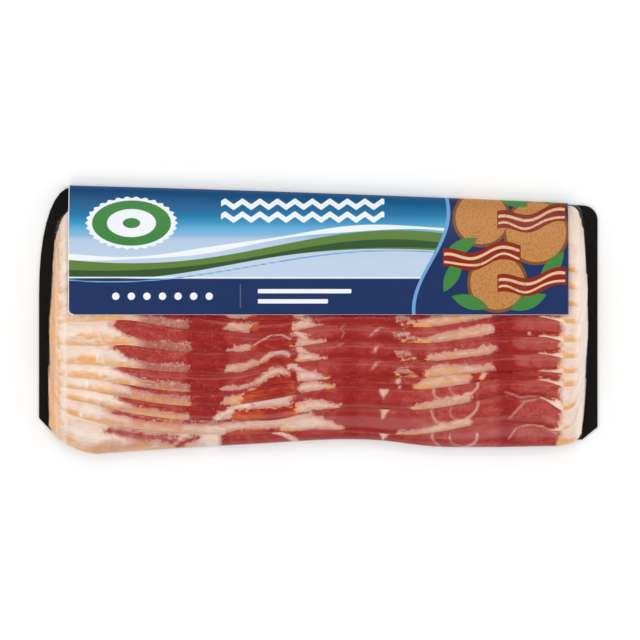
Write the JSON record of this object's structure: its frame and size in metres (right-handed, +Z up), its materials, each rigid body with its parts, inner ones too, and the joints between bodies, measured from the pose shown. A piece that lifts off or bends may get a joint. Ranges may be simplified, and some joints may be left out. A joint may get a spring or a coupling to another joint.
{
  "type": "bacon pack",
  "caption": "Flat vacuum pack of overlapping thick bacon slices on a black backing card, sealed in clear film, with a printed flap folded over the upper half.",
  "frame": {"origin": "middle of the pack's footprint, on the underside of the backing board", "axes": "+X along the slices towards the pack's right end, +Y towards the edge where the printed flap folds over, +Z up, away from the backing board"},
  "size_m": [0.288, 0.1384, 0.0187],
  "materials": {
    "backing_card": "black coated card with a slight sheen",
    "bacon_under_film": "cured pork slices of red lean and cream fat with smoked edges, under tight clear film",
    "printed_card": "card printed in blue, white and green, under film"
  },
  "bodies": {
    "root": {"backing_board": "backing_card", "sealed_bacon": "bacon_under_film", "printed_flap": "printed_card"}
  },
  "joints": []
}
